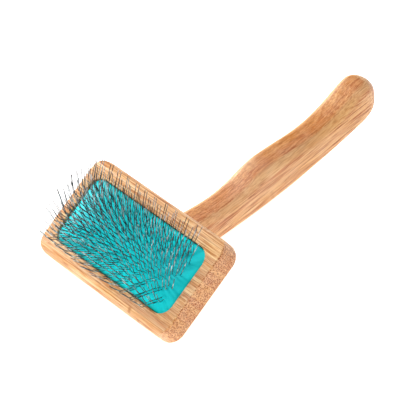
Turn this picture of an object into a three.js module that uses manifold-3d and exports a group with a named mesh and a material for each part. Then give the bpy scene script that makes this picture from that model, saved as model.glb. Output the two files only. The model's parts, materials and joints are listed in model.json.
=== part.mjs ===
// Slicker brush: a bamboo head and handle, with a sprung cushion of bent wire pins.
// Millimetres. Each piece is laid out in the head's own axes: X along the head, Y from
// its lower long edge towards the handle, Z out of the pin face, with z = 0 on the face.
// At the end the whole brush is tipped to lie on its back, as it does on a table.
import * as THREE from 'three';
import { mergeVertices } from 'three/addons/utils/BufferGeometryUtils.js';
import Module from 'manifold-3d';

// ---- head block
const HEAD_LENGTH = 122;
const HEAD_WIDTH = 70;
const HEAD_THICKNESS = 18;
const HEAD_CORNER_R = 10; // seen from the front
const SIDE_ROUND = 6; // the round along the front of the two long sides
const END_ROUND = 1.2; // and along the front of the ends
const BACK_ROUND = 2.5; // and all round the back
const RIM_SIDE = 11; // wood left beside the recess along the long sides
const RIM_END = 7.5; // and at its ends
const RECESS_DEPTH = 10;
const RECESS_CORNER_R = 9;

// ---- cushion
const CUSHION_GAP = 0.5; // all round, between the rubber and the recess wall
const FACING_THICKNESS = 2;
const FACING_EDGE_DROP = 1.5; // the rubber's edge lies this far below the face
const DOME_RISE = 8; // from that edge to the middle of the dome
const CUSHION_TRAVEL = 2.5;
const FOAM_GAP = 0.4; // all round the foam

// ---- pins: U-shaped staples set in a four-step twill
const WIRE = 0.45;
const STAPLE_PITCH = 8.44; // from staple to staple along a row
const STAPLE_WIDTH = 2.1; // between the two legs of a staple
const TWILL_STEPS = 4; // rows before the pattern repeats
const ROW_PITCH = 2.11;
const ROW_COUNT = 19;
const PIN_FIELD_HALF = 46.8; // the furthest leg from the middle, along X
const PIN_FIELD_SHIFT = -1.5; // the field sits this much nearer the lower edge
const PIN_SHOW = 22.5; // wire standing out of the rubber
const KNEE_HEIGHT = 10.5; // from the rubber to the bend
const KNEE_BEND = 22; // degrees, towards the handle, in the middle of a row
const KNEE_BEND_END = 38; // and at its ends
const KNEE_TUCK = 0.5; // beyond the knee a wire leans outwards only this share of its splay
const SPLAY_X = 42; // degrees, at the ends of the middle row
const SPLAY_X_OUTER = 12; // and at the ends of the outermost rows
const SPLAY_Y = 31; // degrees, in the outermost rows
const SLOT_CLEARANCE = 0.3; // rubber to wire
const CROWN_GAP = 0.3; // rubber to the crown of the staple
const CROWN_ROOM = 0.9; // crown to foam

// ---- handle
const HANDLE_LENGTH = 223.2; // from the heel, along the chord
const HANDLE_WIDTH = 22;
const HANDLE_EDGE_R = 6.5;
const HANDLE_LEAN = 25; // degrees, the chord below the head's back
const HEEL_INSET = 2; // the chord starts this far inside the head's lower edge
const TOE_START = 6; // the wedge is cut off here, before it becomes too thin
// Shares of the length, with the front and back surfaces' distance from the chord.
const HANDLE_FRONT = [
  [0, 30], [0.1, 27.5], [0.18, 21.9], [0.25, 17.4], [0.32, 14.3], [0.38, 11.8], [0.43, 11.1], [0.48, 12.1],
  [0.53, 14.6], [0.575, 15.6], [0.63, 14.6], [0.69, 12.9], [0.75, 11.8], [0.8, 12.6], [0.86, 15.3], [0.93, 20], [1, 22.5],
];
const HANDLE_BACK = [
  [0, -0.2], [0.1, -3], [0.2, -5.4], [0.3, -7.8], [0.38, -9.4], [0.48, -11.1], [0.58, -11.8],
  [0.64, -12], [0.7, -11.3], [0.78, -10.4], [0.86, -8.8], [0.92, -7], [0.96, -4.8], [1, -2.5],
];
const TIP_ROUND = 13; // the length over which the end closes

// ---- what it is made of, in g/cm3, for the way it balances
const BAMBOO_DENSITY = 0.7;
const STEEL_DENSITY = 7.85;
const RUBBER_DENSITY = 1.1;
const FOAM_DENSITY = 0.1;

// ---- joint between handle and head
const DOWEL_R = 2.5;
const DOWEL_SPREAD = 11; // between the two dowels
const DOWEL_Y = 2;
const DOWEL_IN_HEAD = 5;
const DOWEL_IN_HANDLE = 9;
const SCREW_Y = -8;
const SCREW_HEAD_R = 3.5;
const SCREW_HEAD_H = 2.4;
const SCREW_SHANK_R = 1.75;
const SCREW_LENGTH = 16;
const FIT = 0.06; // round the dowels and the screw

const deg = THREE.MathUtils.degToRad;
const wasm = await Module();
wasm.setup();

function toManifold(geometry) {
  const g = geometry.clone();
  g.deleteAttribute('normal');
  g.deleteAttribute('uv');
  const m = mergeVertices(g, 1e-5);
  return new wasm.Manifold(new wasm.Mesh({
    numProp: 3,
    vertProperties: Float32Array.from(m.attributes.position.array),
    triVerts: Uint32Array.from(m.index.array),
  }));
}

function toGeometry(solid) {
  const mesh = solid.getMesh();
  const g = new THREE.BufferGeometry();
  g.setAttribute('position', new THREE.BufferAttribute(Float32Array.from(mesh.vertProperties), 3));
  g.setIndex(Array.from(mesh.triVerts));
  return g;
}

function roundedRect(length, width, r) {
  const s = new THREE.Shape();
  const a = length / 2, b = width / 2;
  s.moveTo(-a + r, -b);
  s.lineTo(a - r, -b);
  s.absarc(a - r, -b + r, r, -Math.PI / 2, 0, false);
  s.lineTo(a, b - r);
  s.absarc(a - r, b - r, r, 0, Math.PI / 2, false);
  s.lineTo(-a + r, b);
  s.absarc(-a + r, b - r, r, Math.PI / 2, Math.PI, false);
  s.lineTo(-a, -b + r);
  s.absarc(-a + r, -b + r, r, Math.PI, Math.PI * 1.5, false);
  return s;
}

function prism(length, width, r, z0, z1) {
  const g = new THREE.ExtrudeGeometry(roundedRect(length, width, r), { depth: z1 - z0, bevelEnabled: false, curveSegments: 6 });
  return g.translate(0, 0, z0);
}

const group = new THREE.Group();
group.name = 'slicker_brush';
const brush = new THREE.Group();
brush.name = 'brush';
group.add(brush);
function add(name, geometry, color) {
  const g = geometry.index ? geometry.toNonIndexed() : geometry;
  g.computeVertexNormals();
  const mesh = new THREE.Mesh(g, new THREE.MeshStandardMaterial({ color, roughness: 0.6 }));
  mesh.name = name;
  brush.add(mesh);
  return mesh;
}

// ---- sizes that follow from the ones above
const recessLength = HEAD_LENGTH - 2 * RIM_END;
const recessWidth = HEAD_WIDTH - 2 * RIM_SIDE;
const cushionA = recessLength / 2 - CUSHION_GAP;
const cushionB = recessWidth / 2 - CUSHION_GAP;
const edgeZ = -FACING_EDGE_DROP;

function domeZ(x, y) {
  const u = Math.min(1, Math.abs(x) / cushionA);
  const v = Math.min(1, Math.abs(y) / cushionB);
  return edgeZ + DOME_RISE * (1 - u ** 4) * (1 - v ** 2);
}

// ---- joint pieces, and the holes for them
const lean = deg(HANDLE_LEAN);
const heelY = -HEAD_WIDTH / 2 + HEEL_INSET;
const back = -HEAD_THICKNESS;

function dowelGeometry(r, extra) {
  const z0 = back - DOWEL_IN_HANDLE - extra;
  const z1 = back + DOWEL_IN_HEAD + extra;
  const c = Math.min(0.6, r * 0.3);
  const pts = extra > 0
    ? [[0, z0], [r, z0], [r, z1], [0, z1]]
    : [[0, z0], [r - c, z0], [r, z0 + c], [r, z1 - c], [r - c, z1], [0, z1]];
  const g = new THREE.LatheGeometry(pts.map(([x, y]) => new THREE.Vector2(x, y)), 16);
  return g.rotateX(Math.PI / 2);
}

function screwGeometry(fit) {
  // A countersunk head flush with the recess floor, then a shank that tapers to a point.
  const top = -RECESS_DEPTH;
  const cone = SCREW_HEAD_R - SCREW_SHANK_R;
  const z = (d) => top - d;
  const end = SCREW_LENGTH;
  const pts = [
    [0, z(end) - fit],
    [SCREW_SHANK_R * 0.25 + fit, z(end - 0.4)],
    [SCREW_SHANK_R + fit, z(end - 4)],
    [SCREW_SHANK_R + fit, z(cone + 0.4)],
    [SCREW_HEAD_R + fit, z(SCREW_HEAD_H - cone > 0.2 ? 0.5 : 0.3)],
    [SCREW_HEAD_R + fit, fit > 0 ? top + 1 : top],
    [0, fit > 0 ? top + 1 : top],
  ];
  const g = new THREE.LatheGeometry(pts.map(([x, y]) => new THREE.Vector2(x, y)), 16);
  return g.rotateX(Math.PI / 2).translate(0, SCREW_Y, 0);
}

const dowelXs = [-DOWEL_SPREAD / 2, DOWEL_SPREAD / 2];
const holes = wasm.Manifold.union([
  ...dowelXs.map((x) => toManifold(dowelGeometry(DOWEL_R + FIT, FIT).translate(x, DOWEL_Y, 0))),
  toManifold(screwGeometry(FIT)),
]);

// ---- head block: its outline, front and back rounds, and the rounds of its long sides
function roundedSlab(z0, z1, round) {
  return toManifold(new THREE.ExtrudeGeometry(roundedRect(HEAD_LENGTH, HEAD_WIDTH, HEAD_CORNER_R), {
    depth: z1 - z0 - 2 * round,
    bevelEnabled: true,
    bevelThickness: round,
    bevelSize: round,
    bevelOffset: -round,
    bevelSegments: 3,
    curveSegments: 6,
  }).translate(0, 0, z0 + round));
}

function sideRoundedBar() {
  const b = HEAD_WIDTH / 2, r = SIDE_ROUND, s = new THREE.Shape();
  s.moveTo(-b, -2 * HEAD_THICKNESS);
  s.lineTo(b, -2 * HEAD_THICKNESS);
  s.lineTo(b, -r);
  s.absarc(b - r, -r, r, 0, Math.PI / 2, false);
  s.lineTo(-b + r, 0);
  s.absarc(-b + r, -r, r, Math.PI / 2, Math.PI, false);
  const g = new THREE.ExtrudeGeometry(s, { depth: 2 * HEAD_LENGTH, bevelEnabled: false, curveSegments: 5 });
  // the shape's x and y become the head's Y and Z
  g.translate(0, 0, -HEAD_LENGTH).rotateY(Math.PI / 2).rotateX(Math.PI / 2);
  return toManifold(g);
}

{
  const fromBack = roundedSlab(-HEAD_THICKNESS, 2 * HEAD_THICKNESS, BACK_ROUND);
  const fromFront = roundedSlab(-2 * HEAD_THICKNESS, 0, END_ROUND);
  const recess = toManifold(prism(recessLength, recessWidth, RECESS_CORNER_R, -RECESS_DEPTH, 5));
  const block = fromBack.intersect(fromFront).intersect(sideRoundedBar());
  add('head_block', toGeometry(block.subtract(recess).subtract(holes)), 0xd9a05e);
}

// ---- handle: rounded sections along the chord, trimmed flat against the head's back
function spline(stations) {
  const curve = new THREE.CatmullRomCurve3(stations.map(([t, n]) => new THREE.Vector3(t * HANDLE_LENGTH, n, 0)), false, 'centripetal');
  const pts = curve.getPoints(stations.length * 12);
  return (s) => {
    let i = 1;
    while (i < pts.length - 1 && pts[i].x < s) i++;
    const p = pts[i - 1], q = pts[i];
    return p.y + ((q.y - p.y) * (s - p.x)) / (q.x - p.x);
  };
}
const frontAt = spline(HANDLE_FRONT);
const backAt = spline(HANDLE_BACK);

function chordPoint(x, s, n) {
  return new THREE.Vector3(
    x,
    heelY + s * Math.cos(lean) + n * Math.sin(lean),
    back - s * Math.sin(lean) + n * Math.cos(lean),
  );
}

function handleSection(s) {
  const t = Math.max(0, (s - (HANDLE_LENGTH - TIP_ROUND)) / TIP_ROUND);
  const close = Math.sqrt(Math.max(0, 1 - t ** 2.2));
  const nf = frontAt(s), nb = backAt(s);
  const mid = (nf + nb) / 2;
  const h = Math.max(((nf - nb) / 2) * close, 0.4);
  const w = Math.max((HANDLE_WIDTH / 2) * (0.12 + 0.88 * close), 0.4);
  const r = Math.min(HANDLE_EDGE_R, h * 0.98, w * 0.98);
  const pts = [];
  const arc = 4;
  const corners = [[1, 1, 0], [-1, 1, 90], [-1, -1, 180], [1, -1, 270]];
  for (const [sx, sn, a0] of corners) {
    for (let i = 0; i <= arc; i++) {
      const a = deg(a0 + (90 * i) / arc);
      pts.push([sx * (w - r) + r * Math.cos(a), mid + sn * (h - r) + r * Math.sin(a)]);
    }
  }
  return pts;
}

{
  const stations = [TOE_START];
  const body = 20;
  const straightEnd = HANDLE_LENGTH - TIP_ROUND;
  for (let i = 1; i <= body; i++) stations.push(TOE_START + ((straightEnd - TOE_START) * i) / body);
  for (const t of [0.3, 0.55, 0.75, 0.88, 0.95, 0.985, 1]) stations.push(straightEnd + TIP_ROUND * t);
  const rings = stations.map((s) => handleSection(s).map(([x, n]) => chordPoint(x, s, n)));
  const count = rings[0].length;
  const position = [];
  const index = [];
  for (const ring of rings) for (const p of ring) position.push(p.x, p.y, p.z);
  for (let i = 0; i + 1 < rings.length; i++) {
    for (let j = 0; j < count; j++) {
      const a = i * count + j, b = i * count + ((j + 1) % count), c = a + count, d = b + count;
      index.push(a, c, b, b, c, d);
    }
  }
  const ends = [0, rings.length - 1];
  for (const e of ends) {
    const centre = rings[e].reduce((v, p) => v.add(p), new THREE.Vector3()).divideScalar(count);
    const k = position.length / 3;
    position.push(centre.x, centre.y, centre.z);
    for (let j = 0; j < count; j++) {
      const a = e * count + j, b = e * count + ((j + 1) % count);
      if (e === 0) index.push(k, a, b);
      else index.push(k, b, a);
    }
  }
  const g = new THREE.BufferGeometry();
  g.setAttribute('position', new THREE.Float32BufferAttribute(position, 3));
  g.setIndex(index);
  let solid = toManifold(g);
  if (solid.volume() < 0) {
    const flipped = [];
    for (let i = 0; i < index.length; i += 3) flipped.push(index[i], index[i + 2], index[i + 1]);
    g.setIndex(flipped);
    solid = toManifold(g);
  }
  const above = toManifold(new THREE.BoxGeometry(4 * HANDLE_WIDTH, 3 * HANDLE_LENGTH, 100).translate(0, 0, back + 50));
  add('handle', toGeometry(solid.subtract(above).subtract(holes)), 0xcf9656);
}

// ---- dowels and screw
dowelXs.forEach((x, i) => add(i === 0 ? 'dowel_left' : 'dowel_right', dowelGeometry(DOWEL_R, 0).translate(x, DOWEL_Y, 0), 0xc9a26b));
add('handle_screw', screwGeometry(0), 0xb9bcc0);

// ---- cushion: domed sheets over a grid
function domeSlab(xs, ys, top, bottom) {
  const nx = xs.length, ny = ys.length;
  const position = [];
  const index = [];
  for (const f of [top, bottom]) for (const x of xs) for (const y of ys) position.push(x, y, f(x, y));
  const at = (k, i, j) => k * nx * ny + i * ny + j;
  for (let i = 0; i + 1 < nx; i++) {
    for (let j = 0; j + 1 < ny; j++) {
      const a = at(0, i, j), b = at(0, i + 1, j), c = at(0, i + 1, j + 1), d = at(0, i, j + 1);
      index.push(a, b, c, a, c, d);
      const e = at(1, i, j), f = at(1, i + 1, j), g = at(1, i + 1, j + 1), h = at(1, i, j + 1);
      index.push(e, g, f, e, h, g);
    }
  }
  const wall = (p, q) => { // p, q are [i, j] going anticlockwise seen from above
    const a = at(0, ...p), b = at(0, ...q), c = at(1, ...q), d = at(1, ...p);
    index.push(a, d, c, a, c, b);
  };
  for (let i = 0; i + 1 < nx; i++) { wall([i, 0], [i + 1, 0]); wall([i + 1, ny - 1], [i, ny - 1]); }
  for (let j = 0; j + 1 < ny; j++) { wall([nx - 1, j], [nx - 1, j + 1]); wall([0, j + 1], [0, j]); }
  const g = new THREE.BufferGeometry();
  g.setAttribute('position', new THREE.Float32BufferAttribute(position, 3));
  g.setIndex(index);
  return g;
}

const lastRow = (ROW_COUNT - 1) / 2 * ROW_PITCH;
const rowYs = Array.from({ length: ROW_COUNT }, (_, r) => r * ROW_PITCH - lastRow + PIN_FIELD_SHIFT);
const rowShare = (y) => (y - PIN_FIELD_SHIFT) / lastRow; // -1 in the lowest row, 1 in the highest
const rowSplay = (y) => deg(SPLAY_Y) * rowShare(y);
const kneeBend = (x) => deg(KNEE_BEND + (KNEE_BEND_END - KNEE_BEND) * (x / PIN_FIELD_HALF) ** 2);
function legSplay(x, y) {
  const most = SPLAY_X + (SPLAY_X_OUTER - SPLAY_X) * rowShare(y) ** 2;
  return deg(most) * Math.sign(x) * Math.min(1, Math.abs(x) / PIN_FIELD_HALF) ** 1.3;
}

const share = [0, 0.45, 0.72, 0.88, 1];
const gridXs = [...share.slice(1).reverse().map((t) => -t), ...share].map((t) => t * (cushionA + 1));
const crownTop = FACING_THICKNESS + CROWN_GAP; // straight down from the rubber's surface
const crownDepth = crownTop + WIRE / Math.cos(deg(SPLAY_Y)) + CROWN_ROOM;

{
  const gridYs = [-cushionB - 1, ...rowYs, cushionB + 1];
  const sheet = toManifold(domeSlab(gridXs, gridYs, domeZ, (x, y) => domeZ(x, y) - FACING_THICKNESS));
  const outline = toManifold(prism(2 * cushionA, 2 * cushionB, RECESS_CORNER_R - CUSHION_GAP, -40, 60));
  const slots = rowYs.map((y) => {
    const slot = new THREE.BoxGeometry(2 * PIN_FIELD_HALF + 4, WIRE + 2 * SLOT_CLEARANCE, 12 + 2 * DOME_RISE);
    slot.rotateX(-rowSplay(y));
    const mid = domeZ(0, y) - DOME_RISE * 0.5 * (1 - (y / cushionB) ** 2);
    return toManifold(slot.translate(0, y - (domeZ(0, y) - mid) * Math.tan(rowSplay(y)), mid));
  });
  add('rubber_facing', toGeometry(sheet.intersect(outline).subtract(wasm.Manifold.union(slots))), 0x3f9fa3);
}
{
  const gridYs = [-1, -0.66, -0.33, 0, 0.33, 0.66, 1].map((t) => t * (cushionB + 1));
  const block = toManifold(domeSlab(gridXs, gridYs, (x, y) => domeZ(x, y) - crownDepth, () => -RECESS_DEPTH));
  const inset = CUSHION_GAP + FOAM_GAP;
  const outline = toManifold(prism(recessLength - 2 * inset, recessWidth - 2 * inset, RECESS_CORNER_R - inset, -40, 60));
  add('foam_cushion', toGeometry(block.intersect(outline)), 0xe8e2d0);
}

// ---- pins: one row of staples, joined along their crowns, as a comb bent at the knee
function pinRow(r) {
  const y0 = rowYs[r];
  const beta = rowSplay(y0);
  const up = new THREE.Vector3(0, Math.sin(beta), Math.cos(beta));
  const side = new THREE.Vector3(0, Math.cos(beta), -Math.sin(beta));
  const origin = new THREE.Vector3(0, y0, domeZ(0, y0));
  const surface = (x) => (domeZ(x, y0) - domeZ(0, y0)) / Math.cos(beta);
  const drop = crownTop * Math.cos(beta);
  // x along the row, h up in the row's plane, e beyond a knee of that bend, q across the plane
  const point = (x, h, e, bend, q) => new THREE.Vector3(x, 0, 0).add(origin).addScaledVector(up, h)
    .add(new THREE.Vector3(0, Math.sin(beta + bend), Math.cos(beta + bend)).multiplyScalar(e))
    .addScaledVector(side, q);

  const shift = ((r % TWILL_STEPS) - (TWILL_STEPS - 1) / 2) * (STAPLE_PITCH / TWILL_STEPS);
  const legs = [];
  const reach = Math.ceil(PIN_FIELD_HALF / STAPLE_PITCH) + 1;
  for (let k = -reach; k <= reach; k++) {
    const c = k * STAPLE_PITCH + shift;
    if (Math.abs(c) + STAPLE_WIDTH / 2 > PIN_FIELD_HALF) continue;
    legs.push(c - STAPLE_WIDTH / 2, c + STAPLE_WIDTH / 2);
  }

  const flat = []; // [x, h, e, bend] of each corner of one face of the comb
  const tris = [];
  const rim = []; // the comb's outline, anticlockwise
  const put = (x, h, e, bend = 0) => flat.push([x, h, e, bend]) - 1;
  const top = [];
  const tops = [];
  const upper = [];
  for (const x of legs) {
    const g = legSplay(x, y0);
    const h0 = surface(x) - drop;
    const half = WIRE / 2 / Math.cos(g);
    const l1 = drop + KNEE_HEIGHT;
    const l2 = PIN_SHOW - KNEE_HEIGHT;
    const kx = x + l1 * Math.sin(g), kh = h0 + l1 * Math.cos(g);
    const a = put(x - half, surface(x - half) - drop, 0);
    const b = put(x + half, surface(x + half) - drop, 0);
    const c = put(kx + half, kh, 0);
    const d = put(kx - half, kh, 0);
    const e = put(kx + l2 * Math.sin(g * KNEE_TUCK), kh, l2 * Math.cos(g * KNEE_TUCK), kneeBend(x));
    tris.push([a, b, c], [a, c, d], [d, c, e]);
    top.push(a, b);
    tops.push([x - half, surface(x - half) - drop], [x + half, surface(x + half) - drop]);
    upper.push([a, d, e, c, b]);
  }
  const low = [];
  const lows = [];
  for (let i = 0; i < legs.length; i += 4) {
    const x = i === 0 ? legs[0] - WIRE / 2 : legs[i];
    lows.push([x, surface(x) - drop - WIRE]);
  }
  const xl = legs[legs.length - 1] + WIRE / 2;
  lows.push([xl, surface(xl) - drop - WIRE]);
  for (const [x, h] of lows) low.push(put(x, h, 0));
  // the crown strip between the lower chain and the legs' feet
  for (let i = 0, j = 0; i + 1 < low.length || j + 1 < top.length;) {
    const nextLow = i + 1 < low.length ? lows[i + 1][0] : Infinity;
    const nextTop = j + 1 < top.length ? tops[j + 1][0] : Infinity;
    if (nextTop <= nextLow) tris.push([low[i], top[j + 1], top[j++]]);
    else tris.push([low[i], low[++i], top[j]]);
  }
  rim.push(...low);
  for (let i = upper.length - 1; i >= 0; i--) {
    const [a, d, e, c, b] = upper[i];
    rim.push(b, c, e, d, a);
  }

  const n = flat.length;
  const position = [];
  for (const q of [-WIRE / 2, WIRE / 2]) for (const [x, h, e, bend] of flat) position.push(...point(x, h, e, bend, q).toArray());
  const index = [];
  const area = (a, b, c) => {
    const [p, s, t] = [flat[a], flat[b], flat[c]].map(([x, h, e]) => [x, h + e]);
    return (s[0] - p[0]) * (t[1] - p[1]) - (s[1] - p[1]) * (t[0] - p[0]);
  };
  for (const [a, b, c] of tris) {
    const [p, s, t] = area(a, b, c) > 0 ? [a, b, c] : [a, c, b];
    index.push(p, s, t, p + n, t + n, s + n);
  }
  for (let i = 0; i < rim.length; i++) {
    const a = rim[i], b = rim[(i + 1) % rim.length];
    index.push(b, a, a + n, b, a + n, b + n);
  }
  const geometry = new THREE.BufferGeometry();
  geometry.setAttribute('position', new THREE.Float32BufferAttribute(position, 3));
  geometry.setIndex(index);
  return geometry;
}
rowYs.forEach((_, r) => add(`pin_row_${String(r + 1).padStart(2, '0')}`, pinRow(r), 0xaab0b6));

// ---- lying on its back: the centre of mass, from the solids and what each is made of
function density(name) {
  if (name.startsWith('pin_row') || name === 'handle_screw') return STEEL_DENSITY;
  if (name === 'rubber_facing') return RUBBER_DENSITY;
  if (name === 'foam_cushion') return FOAM_DENSITY;
  return BAMBOO_DENSITY;
}
let mass = 0;
const balance = new THREE.Vector3();
for (const mesh of brush.children) {
  const p = mesh.geometry.attributes.position;
  const index = mesh.geometry.index;
  const corner = (i) => new THREE.Vector3().fromBufferAttribute(p, index ? index.getX(i) : i);
  for (let i = 0; i < (index ? index.count : p.count); i += 3) {
    const a = corner(i), b = corner(i + 1), c = corner(i + 2);
    const m = (density(mesh.name) * a.dot(b.clone().cross(c))) / 6;
    mass += m;
    balance.addScaledVector(a.add(b).add(c), m / 4);
  }
}
balance.divideScalar(mass);

// Tipped back, the brush stands on what lies on one side of its centre of mass; tipped
// forward, on the other side. It comes to rest between the two.
function touches(angle) {
  const c = Math.cos(angle), s = Math.sin(angle);
  let z = Infinity, y = 0;
  for (const mesh of brush.children) {
    const p = mesh.geometry.attributes.position;
    for (let i = 0; i < p.count; i++) {
      const h = p.getY(i) * s + p.getZ(i) * c;
      if (h < z) { z = h; y = p.getY(i) * c - p.getZ(i) * s; }
    }
  }
  return y;
}
let tippedBack = 0, tippedForward = deg(75);
for (let i = 0; i < 60; i++) {
  const m = (tippedBack + tippedForward) / 2;
  if (touches(m) > balance.y * Math.cos(m) - balance.z * Math.sin(m)) tippedBack = m;
  else tippedForward = m;
}
const tilt = (tippedBack + tippedForward) / 2;
brush.rotation.x = tilt;
brush.updateMatrixWorld(true);
const box = new THREE.Box3().setFromObject(brush, true);
const centre = box.getCenter(new THREE.Vector3());
brush.position.set(-centre.x, -centre.y, -box.min.z);
group.updateMatrixWorld(true);
group.userData = { tiltDegrees: THREE.MathUtils.radToDeg(tilt), origin: brush.position.toArray(), travel: CUSHION_TRAVEL };

export default group;
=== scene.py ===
"""Slicker brush: bamboo head and handle, teal rubber cushion, bent steel pins.

Every shape is laid out in the head's own axes, in metres: X along the head, Y towards the
handle, Z out of the pin face, with z = 0 on the face. HEAD turns them into the row frame.
"""

import json
import math
import random

import bmesh
import bpy
import numpy as np
from mathutils import Matrix, Vector

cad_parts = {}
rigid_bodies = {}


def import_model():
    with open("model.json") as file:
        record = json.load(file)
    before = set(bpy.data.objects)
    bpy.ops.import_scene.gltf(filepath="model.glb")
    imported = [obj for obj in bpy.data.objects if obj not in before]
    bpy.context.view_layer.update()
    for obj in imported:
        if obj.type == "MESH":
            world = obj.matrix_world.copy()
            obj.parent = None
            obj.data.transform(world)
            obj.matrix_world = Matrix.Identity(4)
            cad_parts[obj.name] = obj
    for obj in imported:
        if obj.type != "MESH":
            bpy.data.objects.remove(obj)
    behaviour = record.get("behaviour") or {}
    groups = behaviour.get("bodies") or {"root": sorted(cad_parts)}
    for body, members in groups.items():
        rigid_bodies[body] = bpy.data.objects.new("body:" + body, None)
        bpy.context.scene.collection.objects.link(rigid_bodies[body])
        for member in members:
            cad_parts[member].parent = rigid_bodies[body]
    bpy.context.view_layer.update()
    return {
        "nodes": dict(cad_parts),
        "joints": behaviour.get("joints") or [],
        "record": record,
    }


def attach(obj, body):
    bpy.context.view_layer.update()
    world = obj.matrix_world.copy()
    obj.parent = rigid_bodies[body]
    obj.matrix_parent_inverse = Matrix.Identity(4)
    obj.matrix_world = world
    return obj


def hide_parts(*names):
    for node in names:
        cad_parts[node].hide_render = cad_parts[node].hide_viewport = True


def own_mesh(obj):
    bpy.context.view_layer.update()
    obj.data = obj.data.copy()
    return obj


MM = 0.001

# ---- the head, as in part.mjs
HEAD_LENGTH, HEAD_WIDTH, HEAD_THICKNESS = 122 * MM, 70 * MM, 18 * MM
HEAD_CORNER_R = 10 * MM
SIDE_ROUND, END_ROUND, BACK_ROUND = 6 * MM, 1.2 * MM, 2.5 * MM
RIM_SIDE, RIM_END = 11 * MM, 7.5 * MM
RECESS_DEPTH, RECESS_CORNER_R = 10 * MM, 9 * MM
RECESS_EDGE = 0.35 * MM  # the sanded edge round the recess

# ---- the cushion
CUSHION_GAP = 0.5 * MM
FACING_THICKNESS = 2 * MM
FACING_EDGE_DROP = 1.5 * MM
DOME_RISE = 8 * MM
FOAM_DROP = 4 * MM  # from the rubber's surface to the foam
FOAM_GAP = 0.9 * MM
FACING_GRID, FOAM_GRID = (230, 104), (40, 20)  # faces along X and Y
PUCKER_RADIUS, PUCKER_DEPTH = 0.55 * MM, 0.22 * MM  # where a wire comes through
ROLLED_EDGE, ROLLED_DROP = 1.2 * MM, 0.7 * MM  # the rubber's soft edge

# ---- the pins
WIRE = 0.45 * MM
STAPLE_PITCH, STAPLE_WIDTH = 8.44 * MM, 2.1 * MM
TWILL_STEPS, ROW_PITCH, ROW_COUNT = 4, 2.11 * MM, 19
PIN_FIELD_HALF = 46.8 * MM
PIN_SHOW, KNEE_HEIGHT, PIN_FIELD_SHIFT = 22.5 * MM, 10.5 * MM, -1.5 * MM
KNEE_BEND, KNEE_BEND_END, SPLAY_X, SPLAY_X_OUTER, SPLAY_Y = 22, 38, 42, 12, 31  # degrees
KNEE_TUCK = 0.5  # the share of its splay that a wire keeps beyond the knee
CROWN_DEPTH = 2.5 * MM
KNEE_SOFT = 1.1 * MM  # the knee's own length, each side of the bend
TIP_POINT, TIP_SHARE = 0.35 * MM, 0.45  # the ground tip's length, and its width as a share
SPLAY_POWER = 1.3  # how the splay grows along a row
JITTER_Y, JITTER_X, JITTER_BEND = 1.1, 1.2, 2.0  # degrees, spread from wire to wire
SHOW_LOSS = 0.015  # the shortest wire lacks this share
PIN_SEED = 19

# ---- the handle
HANDLE_LEAN = math.radians(25)
HEEL_Y = -HEAD_WIDTH / 2 + 2 * MM
HANDLE_EDGE_R = 6.5 * MM
THINNEST = 0.3 * MM  # half the handle's least thickness, at its tip

# ---- creases: faces that meet at more than this many degrees stay sharp
HEAD_CREASE, HANDLE_CREASE, SOFT_CREASE = 28, 40, 50

# ---- what the timber is cut from
HEAD_STRIP = (3.7 * MM, 19 * MM)  # a lamination's width across the two other axes
HANDLE_STRIP = (7.4 * MM, 12 * MM)
DOWEL_STRIP = (40 * MM, 40 * MM)
NODE_STEP = 0.118  # between the nodes of a culm
GLUE_LINE = 0.30 * MM

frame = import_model()
record = frame["record"]

# ---- from the head's axes to the row frame, by the mount at the middle of the head's +X end
mount = record["mounts"][0]
MOUNT_PLACE = Vector((HEAD_LENGTH / 2, 0, -HEAD_THICKNESS / 2))
press = frame["joints"][0]
normal = -Vector(press["axis"]).normalized()
tilt = math.atan2(-normal.y, normal.z)
turn = Matrix.Rotation(tilt, 4, "X")
HEAD = Matrix.Translation(Vector(mount["pos_m"]) - turn @ MOUNT_PLACE) @ turn
# the handle's chord leaves the heel and leans back: X across, Y along it, Z to its front
CHORD = HEAD @ Matrix.Translation((0, HEEL_Y, -HEAD_THICKNESS)) @ Matrix.Rotation(-HANDLE_LEAN, 4, "X")

BODY = press["parent"]
PAD = press["child"]


# ============================================================ helpers
def new_object(name, verts, faces):
    mesh = bpy.data.meshes.new(name)
    mesh.from_pydata([tuple(v) for v in verts], [], faces)
    mesh.validate()
    mesh.update()
    obj = bpy.data.objects.new(name, mesh)
    bpy.context.scene.collection.objects.link(obj)
    mesh.polygons.foreach_set("use_smooth", [True] * len(mesh.polygons))
    return obj


def apply_modifiers(obj):
    bpy.context.view_layer.update()
    graph = bpy.context.evaluated_depsgraph_get()
    mesh = bpy.data.meshes.new_from_object(obj.evaluated_get(graph))
    obj.modifiers.clear()
    obj.data = mesh


def sharpen(obj, degrees):
    """Smooth shading with creases where faces meet at more than this angle."""
    mesh = obj.data
    mesh.polygons.foreach_set("use_smooth", [True] * len(mesh.polygons))
    mesh.set_sharp_from_angle(angle=math.radians(degrees))


def arc(cx, cy, r, a0, a1, n):
    return [(cx + r * math.cos(math.radians(a0 + (a1 - a0) * i / n)),
             cy + r * math.sin(math.radians(a0 + (a1 - a0) * i / n))) for i in range(n + 1)]


def rounded_rect(length, width, r, n=14):
    a, b = length / 2 - r, width / 2 - r
    return (arc(a, b, r, 0, 90, n) + arc(-a, b, r, 90, 180, n)
            + arc(-a, -b, r, 180, 270, n) + arc(a, -b, r, 270, 360, n))


def stack(name, rings):
    """A closed solid from equal rings of points, with flat ends."""
    count = len(rings[0])
    verts = [p for ring in rings for p in ring]
    faces = []
    for i in range(len(rings) - 1):
        for j in range(count):
            a, b = i * count + j, i * count + (j + 1) % count
            faces.append((a, b, b + count, a + count))
    faces.append(tuple(reversed(range(count))))
    faces.append(tuple(range((len(rings) - 1) * count, len(rings) * count)))
    return new_object(name, verts, faces)


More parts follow.
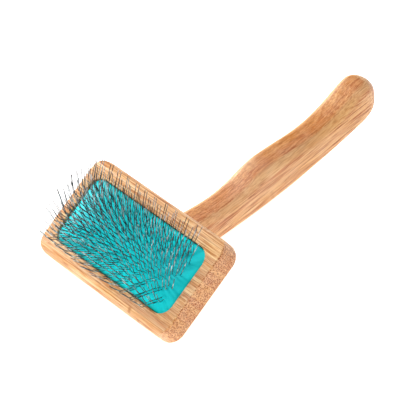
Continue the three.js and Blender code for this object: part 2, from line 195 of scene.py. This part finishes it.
def slab(name, length, width, r, z0, z1, round_low, round_high, steps=8):
    """A rounded rectangle from z0 to z1, with its lower and upper edges rounded."""
    rings = []
    for i in range(steps + 1):
        a = math.pi / 2 * i / steps
        rings.append((round_low * (1 - math.sin(a)), z0 + round_low * (1 - math.cos(a))))
    for i in range(steps + 1):
        a = math.pi / 2 * i / steps
        rings.append((round_high * (1 - math.cos(a)), z1 - round_high * (1 - math.sin(a))))
    return stack(name, [[(x, y, z) for x, y in rounded_rect(length - 2 * d, width - 2 * d, r - d)]
                        for d, z in rings])


def boolean(obj, other, operation):
    m = obj.modifiers.new("cut", "BOOLEAN")
    m.operation = operation
    m.solver = "EXACT"
    m.object = other
    apply_modifiers(obj)
    bpy.data.objects.remove(other)


# ============================================================ materials
class Nodes:
    """A small builder for one material's node tree."""

    def __init__(self, name):
        self.mat = bpy.data.materials.new(name)
        self.mat.use_nodes = True
        self.tree = self.mat.node_tree
        self.bsdf = next(n for n in self.tree.nodes if n.type == "BSDF_PRINCIPLED")

    def add(self, kind, inputs=None, **settings):
        n = self.tree.nodes.new(kind)
        for k, v in settings.items():
            setattr(n, k, v)
        for k, v in (inputs or {}).items():
            if isinstance(v, bpy.types.NodeSocket):
                self.tree.links.new(v, n.inputs[k])
            else:
                n.inputs[k].default_value = v
        return n

    def math(self, op, a, b=0.0, c=None):
        ins = {0: a, 1: b}
        if c is not None:
            ins[2] = c
        return self.add("ShaderNodeMath", ins, operation=op).outputs[0]

    def coords(self, scale=(1, 1, 1), offset=(0, 0, 0), rotation=(0, 0, 0), source=None):
        if source is None:
            source = self.add("ShaderNodeTexCoord").outputs["Object"]
        return self.add("ShaderNodeMapping", {"Vector": source, "Location": offset, "Rotation": rotation,
                                              "Scale": scale}).outputs[0]

    def noise(self, vector, scale, detail=3.0, rough=0.5):
        return self.add("ShaderNodeTexNoise", {"Vector": vector, "Scale": scale, "Detail": detail,
                                               "Roughness": rough}).outputs["Fac"]

    def cells(self, vector, scale, randomness=1.0):
        return self.add("ShaderNodeTexVoronoi", {"Vector": vector, "Scale": scale,
                                                 "Randomness": randomness}).outputs["Distance"]

    def vector(self, x, y, z):
        return self.add("ShaderNodeCombineXYZ", {0: x, 1: y, 2: z}).outputs[0]

    def ramp(self, value, low, high, to_low=0.0, to_high=1.0):
        return self.add("ShaderNodeMapRange", {"Value": value, "From Min": low, "From Max": high,
                                               "To Min": to_low, "To Max": to_high}, clamp=True).outputs[0]

    def mix(self, fac, a, b):
        n = self.add("ShaderNodeMix", data_type="RGBA", blend_type="MIX")
        for i, v in ((0, fac), (6, a), (7, b)):
            if isinstance(v, bpy.types.NodeSocket):
                self.tree.links.new(v, n.inputs[i])
            else:
                n.inputs[i].default_value = v
        return n.outputs[2]

    def bump(self, height, strength, distance):
        return self.add("ShaderNodeBump", {"Height": height, "Strength": strength,
                                           "Distance": distance}).outputs[0]

    def link(self, socket, name):
        self.tree.links.new(socket, self.bsdf.inputs[name])

    def set(self, **values):
        for k, v in values.items():
            self.bsdf.inputs[k.replace("_", " ")].default_value = v
        return self.mat


def srgb(r, g, b):
    """A colour from 0-255 screen values."""
    def f(c):
        c /= 255
        return c / 12.92 if c <= 0.04045 else ((c + 0.055) / 1.055) ** 2.4
    return (f(r), f(g), f(b), 1.0)


def bamboo(name, light, mid, dark, along, strip, seed, place=Matrix(), glue=0.5, front=0.0, node_shift=0.0):
    """Laminated bamboo as a solid texture: fibre bundles run along one axis, so that a long
    face shows streaks, and an end or a slanting cut shows the bundles as dots. strip gives
    the laminations' width across the two other axes. place takes the object's own axes to
    the timber's. front darkens the face cut across the laminations and paints a highlight
    on its rounds, as if they caught the light."""
    n = Nodes(name)
    obj = n.add("ShaderNodeTexCoord").outputs["Object"]
    turned = tuple(place.to_euler())
    base = n.coords(rotation=turned, offset=tuple(place.translation), source=obj)
    order = {"X": ("X", "Y", "Z"), "Y": ("Y", "X", "Z")}[along]
    sep = n.add("ShaderNodeSeparateXYZ", {0: base})
    run, u, v = (sep.outputs[k] for k in order)
    # nothing cut from a grass is quite straight
    drift = n.vector(n.math("MULTIPLY", run, 14.0), n.math("MULTIPLY", u, 30.0), seed)
    wander = n.math("SUBTRACT", n.noise(drift, 1.0, 2.0), 0.5)
    u = n.math("MULTIPLY_ADD", wander, 1.6 * MM, u)
    v = n.math("MULTIPLY_ADD", wander, 1.1 * MM, v)

    # laminations: each strip has its own tint, node positions and shift of the pattern
    iu = n.math("FLOOR", n.math("DIVIDE", u, strip[0]))
    iv = n.math("FLOOR", n.math("DIVIDE", v, strip[1]))
    white = n.add("ShaderNodeTexWhiteNoise", {"Vector": n.vector(iu, iv, seed)}, noise_dimensions="3D")
    tint = white.outputs["Value"]
    shift = n.add("ShaderNodeSeparateColor", {0: white.outputs["Color"]})

    along_fibre = n.math("ADD", run, n.math("MULTIPLY", shift.outputs[1], 0.7))
    fibre = n.vector(n.math("MULTIPLY", along_fibre, 0.03), u, v)
    streak = n.noise(fibre, 1450.0, 3.0, 0.7)
    broad = n.noise(fibre, 420.0, 2.0, 0.5)
    bundle = n.ramp(n.cells(fibre, 860.0, 0.8), 0.32, 0.50, 1.0, 0.0)
    pore = n.ramp(n.cells(fibre, 1250.0), 0.22, 0.42, 1.0, 0.0)
    # sanded across the laminations, the bundles break up into short specks
    short = n.vector(n.math("MULTIPLY", along_fibre, 0.75), u, v)
    speck = n.ramp(n.cells(short, 1100.0), 0.20, 0.46, 1.0, 0.0)

    # how far the surface is cut across the fibres, and across the laminations
    nrm = n.coords(rotation=turned, source=n.add("ShaderNodeTexCoord").outputs["Normal"])
    facing = n.add("ShaderNodeSeparateXYZ", {0: nrm})
    cut = n.math("ABSOLUTE", facing.outputs[order[0]])
    end_grain = n.ramp(cut, 0.30, 0.80)
    fuzz = n.math("MULTIPLY_ADD", broad, 0.24, n.math("SUBTRACT", facing.outputs[order[2]], 0.12))
    face = n.ramp(fuzz, 0.92, 0.98)
    # painted highlight: a mask of the rounds beside the front face, which are painted paler below
    rounded = n.math("MULTIPLY", n.ramp(fuzz, 0.25, 0.50), n.ramp(fuzz, 0.96, 0.88))

    # nodes of the culm: a darker line with a pale fringe, at its own place in each strip
    spot = n.math("ADD", n.math("DIVIDE", run, NODE_STEP),
                  n.math("MULTIPLY_ADD", shift.outputs[0], 0.35, node_shift))
    off = n.math("ABSOLUTE", n.math("SUBTRACT", n.math("FRACT", spot), 0.5))
    node_line = n.math("MULTIPLY", n.ramp(off, 0.004, 0.016, 1.0, 0.0), n.ramp(tint, 0.35, 0.55))
    node_fringe = n.math("MULTIPLY", n.ramp(off, 0.012, 0.06, 1.0, 0.0), n.ramp(tint, 0.3, 0.5))

    # glue lines between strips
    fu = n.math("FRACT", n.math("DIVIDE", u, strip[0]))
    edge_u = n.math("MINIMUM", fu, n.math("SUBTRACT", 1.0, fu))
    line = n.ramp(edge_u, 0.0, GLUE_LINE / strip[0], 1.0, 0.0)

    # light and dark lines on the long faces
    tone = n.ramp(n.math("MULTIPLY_ADD", streak, 0.68, n.math("MULTIPLY", broad, 0.32)), 0.44, 0.56)
    col = n.mix(tone, mid, light)
    col = n.mix(n.math("MULTIPLY", n.ramp(streak, 0.46, 0.36), 0.80), col, dark)
    amount = n.math("MULTIPLY_ADD", end_grain, 0.80, n.math("MULTIPLY_ADD", face, front * 0.40, 0.20))
    # cut across the fibres, or across the laminations, the timber is darker and dotted
    col = n.mix(n.math("MULTIPLY", end_grain, 0.40), col, mid)
    col = n.mix(n.math("MULTIPLY", face, front), col, mid)
    col = n.mix(n.math("MULTIPLY", face, front * 0.22), col, dark)
    col = n.mix(n.math("MULTIPLY", bundle, amount), col, dark)
    col = n.mix(n.math("MULTIPLY", pore, n.math("MULTIPLY_ADD", end_grain, 0.30, 0.20)), col, dark)
    col = n.mix(n.math("MULTIPLY", speck, n.math("MULTIPLY", face, front * 0.90)), col, dark)
    # painted highlight: the rounds beside that face are painted paler, as if they caught the light
    col = n.mix(n.math("MULTIPLY", rounded, front * 0.85), col, light)
    col = n.mix(n.math("MULTIPLY", node_fringe, 0.35), col, light)
    col = n.mix(n.math("MULTIPLY", node_line, 0.60), col, dark)
    col = n.mix(n.math("MULTIPLY", line, glue), col, dark)
    # where hands and sanding have rounded it, the timber is a little paler or browner
    blotch = n.noise(n.coords(source=base, offset=(seed, 0, 0)), 34.0, 3.0, 0.55)
    hsv = n.add("ShaderNodeHueSaturation", {"Hue": n.ramp(tint, 0, 1, 0.494, 0.504),
                                            "Saturation": n.ramp(blotch, 0.3, 0.7, 0.92, 1.08),
                                            "Value": n.math("MULTIPLY", n.ramp(tint, 0, 1, 0.92, 1.04),
                                                            n.ramp(blotch, 0.3, 0.7, 1.04, 0.93)),
                                            "Color": col})
    n.link(hsv.outputs[0], "Base Color")
    n.link(n.ramp(streak, 0.3, 0.7, 0.52, 0.40), "Roughness")
    height = n.math("ADD", n.math("MULTIPLY", streak, 0.8),
                    n.math("MULTIPLY", n.math("MAXIMUM", bundle, pore), -0.5))
    n.link(n.bump(height, 0.40, 0.12 * MM), "Normal")
    return n.set(Specular_IOR_Level=0.42, Coat_Weight=0.10, Coat_Roughness=0.35)


def teal_rubber():
    """Calendered rubber: an even skin with a faint cloth print, dust and thumbed patches."""
    n = Nodes("teal_rubber")
    c = n.coords()
    cloud = n.noise(c, 38.0, 4.0, 0.6)
    speck = n.noise(c, 2600.0, 2.0, 0.6)
    cloth = {"Vector": c, "Scale": 420.0, "Distortion": 1.2, "Detail": 1.0}
    warp, weft = (n.add("ShaderNodeTexWave", cloth, bands_direction=d).outputs["Fac"] for d in "XY")
    weave = n.math("MAXIMUM", warp, weft)
    col = n.mix(n.ramp(cloud, 0.3, 0.7), srgb(0, 206, 214), srgb(8, 236, 240))
    col = n.mix(n.math("MULTIPLY", n.ramp(speck, 0.55, 0.75), 0.25), col, srgb(90, 246, 248))
    col = n.mix(n.math("MULTIPLY", n.ramp(weave, 0.6, 0.1), 0.16), col, srgb(0, 158, 168))
    n.link(col, "Base Color")
    n.link(n.ramp(cloud, 0.3, 0.7, 0.42, 0.56), "Roughness")
    n.link(n.bump(n.math("ADD", weave, n.math("MULTIPLY", speck, 0.6)), 0.25, 0.08 * MM), "Normal")
    return n.set(Specular_IOR_Level=0.14)


def steel_wire():
    """Drawn and tempered wire: grey, with fine die lines and patches from dark to pale steel, painted in as
    glints along the wire.
    """
    n = Nodes("steel_wire")
    c = n.coords()
    glint_patch = n.noise(c, 160.0, 3.0, 0.6)
    lines = n.noise(n.coords((1, 1, 0.05)), 9000.0, 2.0)
    # painted glints: patches that run from dark to pale steel stand in for light caught along the wire
    col = n.mix(n.ramp(glint_patch, 0.48, 0.66), srgb(72, 75, 78), srgb(222, 224, 226))
    n.link(col, "Base Color")
    n.link(n.ramp(lines, 0.3, 0.7, 0.24, 0.42), "Roughness")
    n.link(n.bump(lines, 0.1, 0.02 * MM), "Normal")
    return n.set(Metallic=0.92)


def zinc_screw():
    n = Nodes("zinc_screw")
    c = n.coords()
    n.link(n.mix(n.noise(c, 900.0, 3.0), srgb(150, 152, 155), srgb(205, 206, 204)), "Base Color")
    n.link(n.ramp(n.noise(c, 2500.0), 0.3, 0.7, 0.25, 0.45), "Roughness")
    return n.set(Metallic=1.0)


def open_foam():
    n = Nodes("open_foam")
    c = n.coords()
    holes = n.add("ShaderNodeTexVoronoi", {"Vector": c, "Scale": 1500.0}).outputs["Distance"]
    n.link(n.mix(n.ramp(holes, 0.1, 0.5), srgb(170, 160, 132), srgb(240, 234, 214)), "Base Color")
    n.link(n.bump(holes, 0.6, 0.3 * MM), "Normal")
    return n.set(Roughness=0.9)


# ============================================================ head
def make_head():
    """The block is cut as the shop cuts it: outline, back round, long-side rounds, recess."""
    block = slab("head_body", HEAD_LENGTH, HEAD_WIDTH, HEAD_CORNER_R, -HEAD_THICKNESS, 0,
                 BACK_ROUND, END_ROUND)
    b, r = HEAD_WIDTH / 2, SIDE_ROUND
    below = -50 * MM  # well under the block
    section = arc(b - r, -r, r, 0, 90, 16) + arc(-b + r, -r, r, 90, 180, 16) + [(-b, below), (b, below)]
    bar = stack("bar", [[(x, y, z) for y, z in section] for x in (-HEAD_LENGTH, HEAD_LENGTH)])
    boolean(block, bar, "INTERSECT")
    length, width = HEAD_LENGTH - 2 * RIM_END, HEAD_WIDTH - 2 * RIM_SIDE
    e = RECESS_EDGE
    rings = [(0, -RECESS_DEPTH), (0, -e), (e * 0.3, -e * 0.3), (e, 0), (e, 3 * MM)]
    recess = stack("recess", [[(x, y, z) for x, y in rounded_rect(length + 2 * d, width + 2 * d,
                                                                  RECESS_CORNER_R + d)] for d, z in rings])
    boolean(block, recess, "DIFFERENCE")
    sharpen(block, HEAD_CREASE)
    block.matrix_world = HEAD
    block.data.materials.clear()
    block.data.materials.append(bamboo("head_bamboo", srgb(250, 208, 154), srgb(222, 152, 90),
                                       srgb(166, 88, 32), "X", HEAD_STRIP, seed=3.1, glue=0.55))
    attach(block, BODY)
    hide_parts("head_block")


# ============================================================ handle
def handle_profile():
    """The CAD handle's rings along its chord, as [distance, front, back, half width]. Rings
    that the head's back cuts through have no front of their own; it is carried on straight."""
    inverse = CHORD.inverted()
    points = sorted((inverse @ v.co for v in frame["nodes"]["handle"].data.vertices), key=lambda p: p.y)
    groups = [[points[0]]]
    for p in points[1:]:
        if p.y - groups[-1][0].y < 0.05 * MM:
            groups[-1].append(p)
        else:
            groups.append([p])
    widest = max(abs(p.x) for p in points)
    end = points[-1].y
    out = []
    for ring in groups:
        half = max(abs(p.x) for p in ring)
        s = ring[0].y
        top, low = max(ring, key=lambda p: p.z), min(ring, key=lambda p: p.z)
        cut = s * math.tan(HANDLE_LEAN)
        meets_head = low.z > cut - 0.5 * MM and s < 0.5 * end
        if len(ring) < 8 or meets_head or (half < widest - 1 * MM and s < 0.9 * end):
            continue
        flat = abs(top.x) < half - 1 * MM or s > 0.9 * end
        out.append([s, top.z if flat and top.z < cut - 0.4 * MM else None, low.z, half])
    first = next(i for i, o in enumerate(out) if o[1] is not None)
    slope = (out[first + 1][1] - out[first][1]) / (out[first + 1][0] - out[first][0])
    for o in out[:first]:
        o[1] = out[first][1] + slope * (o[0] - out[first][0])
    return out


def smooth_rows(rows, steps):
    """Catmull-Rom through rows of numbers, with steps pieces between each pair."""
    rows = np.array(rows, float)
    padded = np.vstack([2 * rows[0] - rows[1], rows, 2 * rows[-1] - rows[-2]])
    out = []
    for i in range(1, len(padded) - 2):
        p0, p1, p2, p3 = padded[i - 1:i + 3]
        h0, h1, h2 = (max(b[0] - a[0], 1e-9) for a, b in ((p0, p1), (p1, p2), (p2, p3)))
        m1 = ((p1 - p0) / h0 * h1 + (p2 - p1) / h1 * h0) / (h0 + h1)
        m2 = ((p2 - p1) / h1 * h2 + (p3 - p2) / h2 * h1) / (h1 + h2)
        for k in range(steps):
            t = k / steps
            out.append((2 * t**3 - 3 * t**2 + 1) * p1 + (t**3 - 2 * t**2 + t) * h1 * m1
                       + (-2 * t**3 + 3 * t**2) * p2 + (t**3 - t**2) * h1 * m2)
    out.append(padded[-2])
    return out


def make_handle():
    """Rounded sections along the chord, cut off where they meet the head's back."""
    rings = []
    for s, front, back, half in smooth_rows(handle_profile(), 4):
        half_depth = max((front - back) / 2, THINNEST)
        half = max(half, THINNEST)
        r = min(HANDLE_EDGE_R, half_depth * 0.98, half * 0.98)
        mid = (front + back) / 2
        rings.append([(x, s, mid + z) for x, z in reversed(rounded_rect(2 * half, 2 * half_depth, r, 10))])
    obj = stack("handle_body", rings)
    bm = bmesh.new()
    bm.from_mesh(obj.data)
    to_chord = CHORD.inverted() @ HEAD
    point = to_chord @ Vector((0, 0, -HEAD_THICKNESS))
    up = (to_chord.to_3x3() @ Vector((0, 0, 1))).normalized()
    cut = bmesh.ops.bisect_plane(bm, geom=bm.verts[:] + bm.edges[:] + bm.faces[:], plane_co=point,
                                 plane_no=up, clear_outer=True)
    bmesh.ops.holes_fill(bm, edges=[e for e in cut["geom_cut"] if isinstance(e, bmesh.types.BMEdge)])
    bmesh.ops.recalc_face_normals(bm, faces=bm.faces)
    bm.to_mesh(obj.data)
    bm.free()
    obj.data.transform(CHORD)
    sharpen(obj, HANDLE_CREASE)
    obj.data.materials.append(bamboo("handle_bamboo", srgb(248, 200, 140), srgb(212, 142, 82),
                                     srgb(152, 78, 26), "Y", HANDLE_STRIP, seed=8.4,
                                     place=CHORD.inverted(), glue=0.3, front=0.55, node_shift=0.30))
    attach(obj, BODY)
    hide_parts("handle")


# ============================================================ cushion
CUSHION_A = HEAD_LENGTH / 2 - RIM_END - CUSHION_GAP
CUSHION_B = HEAD_WIDTH / 2 - RIM_SIDE - CUSHION_GAP
LAST_ROW = (ROW_COUNT - 1) / 2 * ROW_PITCH


def dome_z(x, y):
    u, v = min(1, abs(x) / CUSHION_A), min(1, abs(y) / CUSHION_B)
    return -FACING_EDGE_DROP + DOME_RISE * (1 - u**4) * (1 - v**2)


def row_share(y):
    return (y - PIN_FIELD_SHIFT) / LAST_ROW


def row_splay(y):
    return math.radians(SPLAY_Y) * row_share(y)


def leg_splay(x, y):
    most = SPLAY_X + (SPLAY_X_OUTER - SPLAY_X) * row_share(y) ** 2
    return math.copysign(math.radians(most) * min(1, abs(x) / PIN_FIELD_HALF) ** SPLAY_POWER, x)


def row_legs(r):
    """The places along X of the staples of row r, as pairs of legs."""
    shift = (r % TWILL_STEPS - (TWILL_STEPS - 1) / 2) * STAPLE_PITCH / TWILL_STEPS
    reach = math.ceil(PIN_FIELD_HALF / STAPLE_PITCH) + 1
    centres = [k * STAPLE_PITCH + shift for k in range(-reach, reach + 1)]
    return [(c - STAPLE_WIDTH / 2, c + STAPLE_WIDTH / 2) for c in centres
            if abs(c) + STAPLE_WIDTH / 2 <= PIN_FIELD_HALF]


def row_y(r):
    return r * ROW_PITCH - LAST_ROW + PIN_FIELD_SHIFT


def squeeze(x, y, a, b, r):
    """A point of the square -1..1 moved on to a rounded rectangle."""
    px, py = x * a, y * b
    t = max(abs(x), abs(y))
    if t < 1e-6:
        return 0.0, 0.0
    # where the ray leaves the full rectangle, and where it leaves the rounded one
    ex, ey = px / t, py / t
    dx, dy = abs(ex) - (a - r), abs(ey) - (b - r)
    if dx > 0 and dy > 0:
        scale = min(1.0, r / math.hypot(dx, dy))
        qx = math.copysign(a - r + dx * scale, ex)
        qy = math.copysign(b - r + dy * scale, ey)
        w = t ** 6
        ex, ey = ex + (qx - ex) * w, ey + (qy - ey) * w
    return ex * t, ey * t


def dome_solid(name, a, b, r, grid_size, top, bottom):
    """A closed sheet over a rounded rectangle, from bottom(x, y) to top(x, y)."""
    nx, ny = grid_size
    grid = [[squeeze(-1 + 2 * i / nx, -1 + 2 * j / ny, a, b, r) for j in range(ny + 1)]
            for i in range(nx + 1)]
    verts, faces = [], []
    count = (nx + 1) * (ny + 1)
    for f in (top, bottom):
        verts += [HEAD @ Vector((x, y, f(x, y))) for col in grid for x, y in col]

    def at(k, i, j):
        return k * count + i * (ny + 1) + j

    for i in range(nx):
        for j in range(ny):
            faces.append((at(0, i, j), at(0, i + 1, j), at(0, i + 1, j + 1), at(0, i, j + 1)))
            faces.append((at(1, i, j), at(1, i, j + 1), at(1, i + 1, j + 1), at(1, i + 1, j)))
    rim = [(i, 0) for i in range(nx)] + [(nx, j) for j in range(ny)]
    rim += [(i, ny) for i in range(nx, 0, -1)] + [(0, j) for j in range(ny, 0, -1)]
    for k, (i, j) in enumerate(rim):
        p, q = rim[k], rim[(k + 1) % len(rim)]
        faces.append((at(0, *p), at(1, *p), at(1, *q), at(0, *q)))
    obj = new_object(name, verts, faces)
    sharpen(obj, SOFT_CREASE)
    return obj


def make_facing():
    """The rubber, with a soft rolled edge and a small pucker where each wire comes through."""
    feet = np.array([(x, row_y(r)) for r in range(ROW_COUNT) for pair in row_legs(r) for x in pair])

    def top(x, y):
        near = np.exp(-(((feet - (x, y)) ** 2).sum(1)) / PUCKER_RADIUS ** 2).max()
        edge = max(abs(x) - (CUSHION_A - ROLLED_EDGE), abs(y) - (CUSHION_B - ROLLED_EDGE), 0) / ROLLED_EDGE
        return dome_z(x, y) - PUCKER_DEPTH * near - ROLLED_DROP * min(1, edge) ** 2

    obj = dome_solid("cushion_face", CUSHION_A, CUSHION_B, RECESS_CORNER_R - CUSHION_GAP, FACING_GRID,
                     top, lambda x, y: dome_z(x, y) - FACING_THICKNESS)
    obj.data.materials.append(teal_rubber())
    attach(obj, PAD)
    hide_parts("rubber_facing")


def make_foam():
    """The foam under the rubber, from the recess floor up."""
    gap = FOAM_GAP
    obj = dome_solid("foam_core", HEAD_LENGTH / 2 - RIM_END - gap, HEAD_WIDTH / 2 - RIM_SIDE - gap,
                     RECESS_CORNER_R - gap, FOAM_GRID, lambda x, y: dome_z(x, y) - FOAM_DROP,
                     lambda x, y: -RECESS_DEPTH)
    obj.data.materials.append(open_foam())
    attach(obj, BODY)
    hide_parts("foam_cushion")
    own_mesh(obj)


# ============================================================ pins
def tube(path, radius, sides=6, point=True):
    """A round wire along a path of points, closed at both ends. point grinds the last end."""
    verts, faces = [], []
    across = Vector((0, 1, 0))
    for i, p in enumerate(path):
        a, b = path[max(i - 1, 0)], path[min(i + 1, len(path) - 1)]
        t = (b - a).normalized()
        e1 = t.cross(across)
        e1 = e1.normalized() if e1.length > 1e-4 else Vector((1, 0, 0))
        e2 = t.cross(e1)
        r = radius * (TIP_SHARE if point and i == len(path) - 1 else 1.0)
        for k in range(sides):
            ang = 2 * math.pi * k / sides
            verts.append(p + (e1 * math.cos(ang) + e2 * math.sin(ang)) * r)
    for i in range(len(path) - 1):
        for k in range(sides):
            a, b = i * sides + k, i * sides + (k + 1) % sides
            faces.append((a, a + sides, b + sides, b))
    faces.append(tuple(range(sides)))
    faces.append(tuple(reversed(range((len(path) - 1) * sides, len(path) * sides))))
    return verts, faces


def leg_path(x, y, rng):
    """One leg from its crown to its tip: set square to the dome, then bent at the knee."""
    beta = row_splay(y) + math.radians(rng.gauss(0, JITTER_Y))
    gamma = leg_splay(x, y) + math.radians(rng.gauss(0, JITTER_X))
    bend = KNEE_BEND + (KNEE_BEND_END - KNEE_BEND) * (x / PIN_FIELD_HALF) ** 2
    bend = math.radians(bend + rng.gauss(0, JITTER_BEND))
    show = PIN_SHOW * (1 - SHOW_LOSS * rng.random())

    def lean(outward, towards_handle):
        return Vector((math.sin(outward), math.cos(outward) * math.sin(towards_handle),
                       math.cos(outward) * math.cos(towards_handle)))

    up = lean(gamma, beta)
    over = lean(gamma * KNEE_TUCK, beta + bend)
    foot = Vector((x, y, dome_z(x, y)))
    root = foot - up * CROWN_DEPTH
    knee = foot + up * KNEE_HEIGHT
    mid = knee + (over - up) * (KNEE_SOFT * 0.25)
    beyond = show - KNEE_HEIGHT
    return [root, foot, foot + up * (KNEE_HEIGHT * 0.5), knee - up * KNEE_SOFT, mid, knee + over * KNEE_SOFT,
            knee + over * beyond * 0.55, knee + over * (beyond - TIP_POINT), knee + over * beyond]


def make_pins(material):
    rng = random.Random(PIN_SEED)
    for r in range(ROW_COUNT):
        verts, faces = [], []
        for x0, x1 in row_legs(r):
            left, right = leg_path(x0, row_y(r), rng), leg_path(x1, row_y(r), rng)
            crown = [left[0], right[0]]
            for path, point in ((left, True), (right, True), (crown, False)):
                v, f = tube(path, WIRE / 2, point=point)
                faces += [tuple(i + len(verts) for i in face) for face in f]
                verts += [HEAD @ p for p in v]
        obj = new_object(f"staples_{r + 1:02d}", verts, faces)
        sharpen(obj, SOFT_CREASE)
        obj.data.materials.append(material)
        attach(obj, PAD)
        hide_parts(f"pin_row_{r + 1:02d}")


# ============================================================ what stays as CAD
def dress_cad():
    dowel = bamboo("dowel_wood", srgb(226, 190, 140), srgb(204, 160, 108), srgb(150, 104, 62), "Y",
                   DOWEL_STRIP, seed=1.7, place=Matrix.Rotation(-tilt - math.pi / 2, 4, "X"), glue=0.0)
    for name, material in (("dowel_left", dowel), ("dowel_right", dowel), ("handle_screw", zinc_screw())):
        mesh = frame["nodes"][name].data
        mesh.materials.clear()
        mesh.materials.append(material)


# ============================================================ stage, light and camera
STAGE_SIZE = 6.0  # half the floor's side
STAGE_GLOW, WORLD_STRENGTH = 0.8, 0.5


def make_stage():
    n = Nodes("stage_white")
    n.set(Base_Color=(0.95, 0.95, 0.95, 1), Roughness=0.9, Emission_Color=(1, 1, 1, 1),
          Emission_Strength=STAGE_GLOW)
    e = STAGE_SIZE
    floor = new_object("floor", [(-e, -e, 0), (e, -e, 0), (e, e, 0), (-e, e, 0)], [(0, 1, 2, 3)])
    floor.data.materials.append(n.mat)
    world = bpy.data.worlds.new("studio")
    world.use_nodes = True
    background = world.node_tree.nodes["Background"]
    background.inputs["Color"].default_value = (1, 1, 1, 1)
    background.inputs["Strength"].default_value = WORLD_STRENGTH
    bpy.context.scene.world = world
    bpy.context.scene.view_settings.view_transform = "Standard"


def area_light(name, place, size, power, target):
    data = bpy.data.lights.new(name, "AREA")
    data.shape = "DISK"
    data.size = size
    data.energy = power
    obj = bpy.data.objects.new(name, data)
    bpy.context.scene.collection.objects.link(obj)
    obj.location = place
    obj.rotation_euler = (target - place).to_track_quat("-Z", "Y").to_euler()


VIEW_ANGLE = math.radians(37.62)  # from the face's normal, towards the head's +X end
VIEW_TIP = math.radians(-1.79)  # and towards its lower edge
VIEW_ROLL = math.radians(35.68)
VIEW_DISTANCE = 1.5
FOCAL_RATIO = 5.9467  # focal length over the frame's width
VIEW_RIGHT, VIEW_UP = 47.68 * MM, 22.17 * MM  # from the face's middle to what the camera aims at
SENSOR = 36  # mm
CLIP_START, CLIP_END = 0.05, 20


def make_camera():
    """The camera, and its right, up and outward directions and the point it aims at."""
    turn3 = HEAD.to_3x3()
    u = turn3 @ Vector((math.cos(VIEW_ANGLE), 0, -math.sin(VIEW_ANGLE)))
    out = turn3 @ Vector((math.sin(VIEW_ANGLE) * math.cos(VIEW_TIP), math.sin(VIEW_TIP),
                          math.cos(VIEW_ANGLE) * math.cos(VIEW_TIP)))
    v = out.cross(u)
    right = math.cos(VIEW_ROLL) * u + math.sin(VIEW_ROLL) * v
    up = -math.sin(VIEW_ROLL) * u + math.cos(VIEW_ROLL) * v
    centre = HEAD.translation + right * VIEW_RIGHT + up * VIEW_UP
    data = bpy.data.cameras.new("camera")
    data.sensor_width = SENSOR
    data.lens = SENSOR * FOCAL_RATIO
    data.clip_start, data.clip_end = CLIP_START, CLIP_END
    cam = bpy.data.objects.new("camera", data)
    bpy.context.scene.collection.objects.link(cam)
    rot = Matrix((right, up, out)).transposed().to_4x4()
    cam.matrix_world = Matrix.Translation(centre + out * VIEW_DISTANCE) @ rot
    bpy.context.scene.camera = cam
    return right, up, out, centre


make_head()
make_handle()
make_facing()
make_foam()
make_pins(steel_wire())
dress_cad()
make_stage()
right, up, out, centre = make_camera()
area_light("key", centre + (-right * 0.50 + up * 0.50 + out * 0.8) * 1.7, size=0.26, power=11.5, target=centre)
area_light("side", centre + Vector((-1.15, -0.12, 0.48)), size=0.8, power=15, target=centre)
